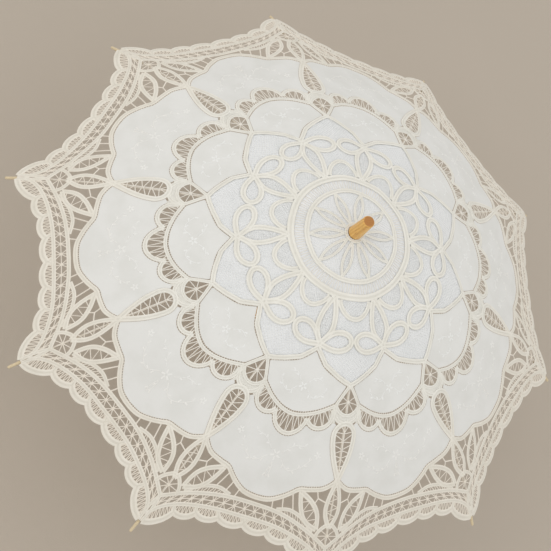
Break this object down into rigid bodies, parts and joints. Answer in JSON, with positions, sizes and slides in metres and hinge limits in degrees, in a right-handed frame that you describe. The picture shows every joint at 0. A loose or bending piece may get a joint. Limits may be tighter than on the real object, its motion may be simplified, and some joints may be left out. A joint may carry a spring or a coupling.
{
  "type": "lace parasol",
  "caption": "Open folding parasol with a domed white tape-lace canopy, white steel ribs, a straight wooden shaft, a turned wooden handle and a round wooden ferrule.",
  "frame": {"origin": "centre of the handle's flat end", "axes": "+Z along the shaft towards the ferrule; +X along the first rib"},
  "size_m": [0.8226, 0.7826, 0.577],
  "materials": {
    "lace_cloth": "matt white cotton cloth",
    "lace_tape": "cream white cotton braid tape and thread",
    "honey_wood": "varnished honey wood",
    "pale_wood": "smooth pale wood",
    "white_enamel": "semi-gloss cream white paint on steel",
    "bright_steel": "bright drawn steel"
  },
  "bodies": {
    "frame": {"shaft": "honey_wood", "handle": "honey_wood", "ferrule": "honey_wood", "canopy_cap": "lace_tape", "crown": "pale_wood", "crown_wire": "bright_steel"},
    "runner": {"runner": "pale_wood", "runner_wire": "bright_steel"},
    "top_catch": {"top_catch": "bright_steel"},
    "lower_catch": {"lower_catch": "bright_steel"},
    "rib_01": {"rib_01": "white_enamel", "rib_tip_01": "pale_wood", "rivet_01": "bright_steel", "canopy_01": "lace_cloth"},
    "stretcher_01": {"stretcher_01": "white_enamel"},
    "rib_02": {"rib_02": "white_enamel", "rib_tip_02": "pale_wood", "rivet_02": "bright_steel", "canopy_02": "lace_cloth"},
    "stretcher_02": {"stretcher_02": "white_enamel"},
    "rib_03": {"rib_03": "white_enamel", "rib_tip_03": "pale_wood", "rivet_03": "bright_steel", "canopy_03": "lace_cloth"},
    "stretcher_03": {"stretcher_03": "white_enamel"},
    "rib_04": {"rib_04": "white_enamel", "rib_tip_04": "pale_wood", "rivet_04": "bright_steel", "canopy_04": "lace_cloth"},
    "stretcher_04": {"stretcher_04": "white_enamel"},
    "rib_05": {"rib_05": "white_enamel", "rib_tip_05": "pale_wood", "rivet_05": "bright_steel", "canopy_05": "lace_cloth"},
    "stretcher_05": {"stretcher_05": "white_enamel"},
    "rib_06": {"rib_06": "white_enamel", "rib_tip_06": "pale_wood", "rivet_06": "bright_steel", "canopy_06": "lace_cloth"},
    "stretcher_06": {"stretcher_06": "white_enamel"},
    "rib_07": {"rib_07": "white_enamel", "rib_tip_07": "pale_wood", "rivet_07": "bright_steel", "canopy_07": "lace_cloth"},
    "stretcher_07": {"stretcher_07": "white_enamel"},
    "rib_08": {"rib_08": "white_enamel", "rib_tip_08": "pale_wood", "rivet_08": "bright_steel", "canopy_08": "lace_cloth"},
    "stretcher_08": {"stretcher_08": "white_enamel"},
    "rib_09": {"rib_09": "white_enamel", "rib_tip_09": "pale_wood", "rivet_09": "bright_steel", "canopy_09": "lace_cloth"},
    "stretcher_09": {"stretcher_09": "white_enamel"},
    "rib_10": {"rib_10": "white_enamel", "rib_tip_10": "pale_wood", "rivet_10": "bright_steel", "canopy_10": "lace_cloth"},
    "stretcher_10": {"stretcher_10": "white_enamel"}
  },
  "joints": [
    {"name": "runner_slide", "type": "slide", "parent": "frame", "child": "runner", "axis": [0, 0, -1], "range_m": [0, 0.17467], "deforming": ["top_catch", "lower_catch"]},
    {"name": "top_catch_press", "type": "slide", "parent": "frame", "child": "top_catch", "axis": [0, -1, 0], "range_m": [0, 0.0026], "stiffness_N_per_m": 200},
    {"name": "lower_catch_press", "type": "slide", "parent": "frame", "child": "lower_catch", "axis": [0, -1, 0], "range_m": [0, 0.0026], "stiffness_N_per_m": 200},
    {"name": "rib_hinge_01", "type": "hinge", "parent": "frame", "child": "rib_01", "pos_m": [0.0095, 0, 0.5245], "axis": [0, 1, 0], "range_deg": [0, 62.5], "deforming": ["canopy_01"]},
    {"name": "stretcher_hinge_01", "type": "hinge", "parent": "rib_01", "child": "stretcher_01", "pos_m": [0.15, 0, 0.48787], "axis": [0, 1, 0], "range_deg": [-107.53, 0]},
    {"name": "rib_hinge_02", "type": "hinge", "parent": "frame", "child": "rib_02", "pos_m": [0.00769, 0.00558, 0.5245], "axis": [-0.5878, 0.809, 0], "range_deg": [0, 62.5], "deforming": ["canopy_02"]},
    {"name": "stretcher_hinge_02", "type": "hinge", "parent": "rib_02", "child": "stretcher_02", "pos_m": [0.12135, 0.08817, 0.48787], "axis": [-0.5878, 0.809, 0], "range_deg": [-107.53, 0]},
    {"name": "rib_hinge_03", "type": "hinge", "parent": "frame", "child": "rib_03", "pos_m": [0.00294, 0.00903, 0.5245], "axis": [-0.9511, 0.309, 0], "range_deg": [0, 62.5], "deforming": ["canopy_03"]},
    {"name": "stretcher_hinge_03", "type": "hinge", "parent": "rib_03", "child": "stretcher_03", "pos_m": [0.04635, 0.14266, 0.48787], "axis": [-0.9511, 0.309, 0], "range_deg": [-107.53, 0]},
    {"name": "rib_hinge_04", "type": "hinge", "parent": "frame", "child": "rib_04", "pos_m": [-0.00294, 0.00903, 0.5245], "axis": [-0.9511, -0.309, 0], "range_deg": [0, 62.5], "deforming": ["canopy_04"]},
    {"name": "stretcher_hinge_04", "type": "hinge", "parent": "rib_04", "child": "stretcher_04", "pos_m": [-0.04635, 0.14266, 0.48787], "axis": [-0.9511, -0.309, 0], "range_deg": [-107.53, 0]},
    {"name": "rib_hinge_05", "type": "hinge", "parent": "frame", "child": "rib_05", "pos_m": [-0.00769, 0.00558, 0.5245], "axis": [-0.5878, -0.809, 0], "range_deg": [0, 62.5], "deforming": ["canopy_05"]},
    {"name": "stretcher_hinge_05", "type": "hinge", "parent": "rib_05", "child": "stretcher_05", "pos_m": [-0.12135, 0.08817, 0.48787], "axis": [-0.5878, -0.809, 0], "range_deg": [-107.53, 0]},
    {"name": "rib_hinge_06", "type": "hinge", "parent": "frame", "child": "rib_06", "pos_m": [-0.0095, 0, 0.5245], "axis": [0, -1, 0], "range_deg": [0, 62.5], "deforming": ["canopy_06"]},
    {"name": "stretcher_hinge_06", "type": "hinge", "parent": "rib_06", "child": "stretcher_06", "pos_m": [-0.15, 0, 0.48787], "axis": [0, -1, 0], "range_deg": [-107.53, 0]},
    {"name": "rib_hinge_07", "type": "hinge", "parent": "frame", "child": "rib_07", "pos_m": [-0.00769, -0.00558, 0.5245], "axis": [0.5878, -0.809, 0], "range_deg": [0, 62.5], "deforming": ["canopy_07"]},
    {"name": "stretcher_hinge_07", "type": "hinge", "parent": "rib_07", "child": "stretcher_07", "pos_m": [-0.12135, -0.08817, 0.48787], "axis": [0.5878, -0.809, 0], "range_deg": [-107.53, 0]},
    {"name": "rib_hinge_08", "type": "hinge", "parent": "frame", "child": "rib_08", "pos_m": [-0.00294, -0.00903, 0.5245], "axis": [0.9511, -0.309, 0], "range_deg": [0, 62.5], "deforming": ["canopy_08"]},
    {"name": "stretcher_hinge_08", "type": "hinge", "parent": "rib_08", "child": "stretcher_08", "pos_m": [-0.04635, -0.14266, 0.48787], "axis": [0.9511, -0.309, 0], "range_deg": [-107.53, 0]},
    {"name": "rib_hinge_09", "type": "hinge", "parent": "frame", "child": "rib_09", "pos_m": [0.00294, -0.00903, 0.5245], "axis": [0.9511, 0.309, 0], "range_deg": [0, 62.5], "deforming": ["canopy_09"]},
    {"name": "stretcher_hinge_09", "type": "hinge", "parent": "rib_09", "child": "stretcher_09", "pos_m": [0.04635, -0.14266, 0.48787], "axis": [0.9511, 0.309, 0], "range_deg": [-107.53, 0]},
    {"name": "rib_hinge_10", "type": "hinge", "parent": "frame", "child": "rib_10", "pos_m": [0.00769, -0.00558, 0.5245], "axis": [0.5878, 0.809, 0], "range_deg": [0, 62.5], "deforming": ["canopy_10"]},
    {"name": "stretcher_hinge_10", "type": "hinge", "parent": "rib_10", "child": "stretcher_10", "pos_m": [0.12135, -0.08817, 0.48787], "axis": [0.5878, 0.809, 0], "range_deg": [-107.53, 0]}
  ],
  "couplings": [
    {"joint": "rib_hinge_01", "follows": "runner_slide", "rad_per_m": 6.2451},
    {"joint": "stretcher_hinge_01", "follows": "runner_slide", "rad_per_m": -10.745},
    {"joint": "rib_hinge_02", "follows": "runner_slide", "rad_per_m": 6.2451},
    {"joint": "stretcher_hinge_02", "follows": "runner_slide", "rad_per_m": -10.745},
    {"joint": "rib_hinge_03", "follows": "runner_slide", "rad_per_m": 6.2451},
    {"joint": "stretcher_hinge_03", "follows": "runner_slide", "rad_per_m": -10.745},
    {"joint": "rib_hinge_04", "follows": "runner_slide", "rad_per_m": 6.2451},
    {"joint": "stretcher_hinge_04", "follows": "runner_slide", "rad_per_m": -10.745},
    {"joint": "rib_hinge_05", "follows": "runner_slide", "rad_per_m": 6.2451},
    {"joint": "stretcher_hinge_05", "follows": "runner_slide", "rad_per_m": -10.745},
    {"joint": "rib_hinge_06", "follows": "runner_slide", "rad_per_m": 6.2451},
    {"joint": "stretcher_hinge_06", "follows": "runner_slide", "rad_per_m": -10.745},
    {"joint": "rib_hinge_07", "follows": "runner_slide", "rad_per_m": 6.2451},
    {"joint": "stretcher_hinge_07", "follows": "runner_slide", "rad_per_m": -10.745},
    {"joint": "rib_hinge_08", "follows": "runner_slide", "rad_per_m": 6.2451},
    {"joint": "stretcher_hinge_08", "follows": "runner_slide", "rad_per_m": -10.745},
    {"joint": "rib_hinge_09", "follows": "runner_slide", "rad_per_m": 6.2451},
    {"joint": "stretcher_hinge_09", "follows": "runner_slide", "rad_per_m": -10.745},
    {"joint": "rib_hinge_10", "follows": "runner_slide", "rad_per_m": 6.2451},
    {"joint": "stretcher_hinge_10", "follows": "runner_slide", "rad_per_m": -10.745}
  ]
}
